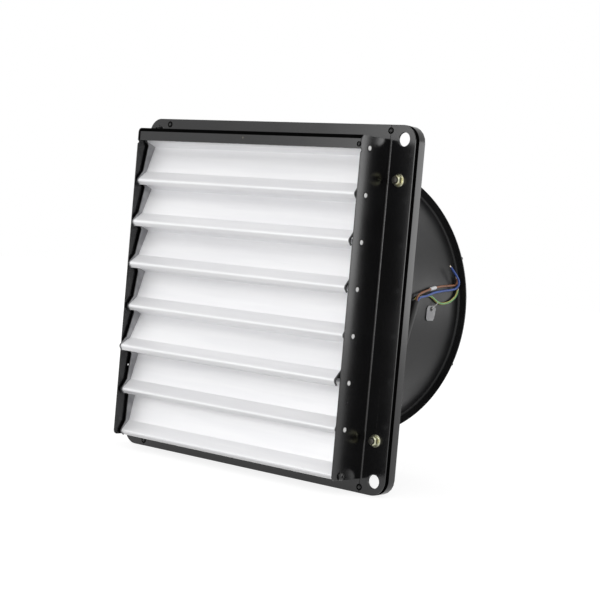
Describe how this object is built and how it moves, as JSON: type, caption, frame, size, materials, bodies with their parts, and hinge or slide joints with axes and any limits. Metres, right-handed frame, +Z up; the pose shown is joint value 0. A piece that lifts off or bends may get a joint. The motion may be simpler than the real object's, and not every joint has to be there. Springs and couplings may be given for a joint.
{
  "type": "shutter exhaust fan",
  "caption": "Wall exhaust fan: hinged gravity louvres in a square flanged frame, a tray plate, a round duct drum with motor, impeller and wire guard, and a supply cable.",
  "frame": {"origin": "on the drum's axis in the wall plane, which is the plane of the mounting tray's rear rim", "axes": "+X to the right seen from the front, +Y back through the wall along the drum's axis, +Z up; the louvres face -Y"},
  "size_m": [0.4, 0.2432, 0.3944],
  "materials": {
    "black_paint": "semi-gloss black coat on sheet steel",
    "black_screw": "black coated steel",
    "satin_aluminium": "bright satin sheet",
    "black_plastic": "moulded, with pale pin ends",
    "yellow_zinc": "pale yellow zinc plate on steel",
    "bright_steel": "plated or ground steel",
    "core_steel": "stacked core sheets",
    "copper_winding": "lacquered copper wire",
    "motor_grey": "dark grey cast aluminium and sheet",
    "black_sheath": "matt cable sheath",
    "black_rubber": "moulded rubber",
    "brown_insulation": "wire insulation",
    "blue_insulation": "wire insulation",
    "earth_insulation": "yellow wire insulation with green stripes",
    "grey_card": "blank grey card"
  },
  "bodies": {
    "housing": {"left_rail": "black_paint", "right_rail": "black_paint", "top_rail": "black_paint", "bottom_rail": "black_paint", "mounting_tray": "black_paint", "plate_nut_1": "yellow_zinc", "plate_nut_2": "yellow_zinc", "plate_nut_3": "yellow_zinc", "plate_nut_4": "yellow_zinc", "duct_drum": "black_paint", "stop_rod": "black_paint", "stop_rod_left_screw": "black_screw", "stop_rod_right_screw": "black_screw", "motor_bracket": "black_paint", "motor_front_cover": "motor_grey", "motor_rear_cover": "motor_grey", "motor_shell": "motor_grey", "stator_core": "core_steel", "stator_winding": "copper_winding", "front_bearing": "bright_steel", "rear_bearing": "bright_steel", "motor_left_bolt": "bright_steel", "motor_right_bolt": "bright_steel", "wire_guard": "black_paint", "guard_top_clip": "bright_steel", "guard_bottom_clip": "bright_steel", "motor_lead": "black_sheath", "cable_grommet": "black_rubber", "supply_cable": "black_sheath", "brown_wire": "brown_insulation", "blue_wire": "blue_insulation", "earth_wire": "earth_insulation", "cable_clip": "black_plastic", "cable_tag": "grey_card"},
    "impeller": {"fan_impeller": "black_paint", "fan_hub": "bright_steel", "shaft_nut": "bright_steel", "motor_shaft": "bright_steel", "rotor_core": "core_steel"},
    "louvre_1_body": {"louvre_1": "satin_aluminium", "louvre_1_left_cap": "black_plastic", "louvre_1_right_cap": "black_plastic"},
    "louvre_2_body": {"louvre_2": "satin_aluminium", "louvre_2_left_cap": "black_plastic", "louvre_2_right_cap": "black_plastic"},
    "louvre_3_body": {"louvre_3": "satin_aluminium", "louvre_3_left_cap": "black_plastic", "louvre_3_right_cap": "black_plastic"},
    "louvre_4_body": {"louvre_4": "satin_aluminium", "louvre_4_left_cap": "black_plastic", "louvre_4_right_cap": "black_plastic"},
    "louvre_5_body": {"louvre_5": "satin_aluminium", "louvre_5_left_cap": "black_plastic", "louvre_5_right_cap": "black_plastic"},
    "louvre_6_body": {"louvre_6": "satin_aluminium", "louvre_6_left_cap": "black_plastic", "louvre_6_right_cap": "black_plastic"},
    "louvre_7_body": {"louvre_7": "satin_aluminium", "louvre_7_left_cap": "black_plastic", "louvre_7_right_cap": "black_plastic"}
  },
  "joints": [
    {"name": "fan_spin", "type": "hinge", "parent": "housing", "child": "impeller", "pos_m": [0, 0.056, 0], "axis": [0, -1, 0], "continuous": true},
    {"name": "louvre_1_hinge", "type": "hinge", "parent": "housing", "child": "louvre_1_body", "pos_m": [0, -0.0531, 0.1686], "axis": [-1, 0, 0], "range_deg": [0, 65]},
    {"name": "louvre_2_hinge", "type": "hinge", "parent": "housing", "child": "louvre_2_body", "pos_m": [0, -0.0531, 0.11923], "axis": [-1, 0, 0], "range_deg": [0, 65]},
    {"name": "louvre_3_hinge", "type": "hinge", "parent": "housing", "child": "louvre_3_body", "pos_m": [0, -0.0531, 0.06986], "axis": [-1, 0, 0], "range_deg": [0, 65]},
    {"name": "louvre_4_hinge", "type": "hinge", "parent": "housing", "child": "louvre_4_body", "pos_m": [0, -0.0531, 0.02049], "axis": [-1, 0, 0], "range_deg": [0, 65]},
    {"name": "louvre_5_hinge", "type": "hinge", "parent": "housing", "child": "louvre_5_body", "pos_m": [0, -0.0531, -0.02888], "axis": [-1, 0, 0], "range_deg": [0, 65]},
    {"name": "louvre_6_hinge", "type": "hinge", "parent": "housing", "child": "louvre_6_body", "pos_m": [0, -0.0531, -0.07825], "axis": [-1, 0, 0], "range_deg": [0, 65]},
    {"name": "louvre_7_hinge", "type": "hinge", "parent": "housing", "child": "louvre_7_body", "pos_m": [0, -0.0531, -0.12762], "axis": [-1, 0, 0], "range_deg": [0, 65]}
  ],
  "couplings": [
    {"joint": "louvre_2_hinge", "follows": "louvre_1_hinge", "ratio": 1},
    {"joint": "louvre_3_hinge", "follows": "louvre_1_hinge", "ratio": 1},
    {"joint": "louvre_4_hinge", "follows": "louvre_1_hinge", "ratio": 1},
    {"joint": "louvre_5_hinge", "follows": "louvre_1_hinge", "ratio": 1},
    {"joint": "louvre_6_hinge", "follows": "louvre_1_hinge", "ratio": 1},
    {"joint": "louvre_7_hinge", "follows": "louvre_1_hinge", "ratio": 1}
  ]
}
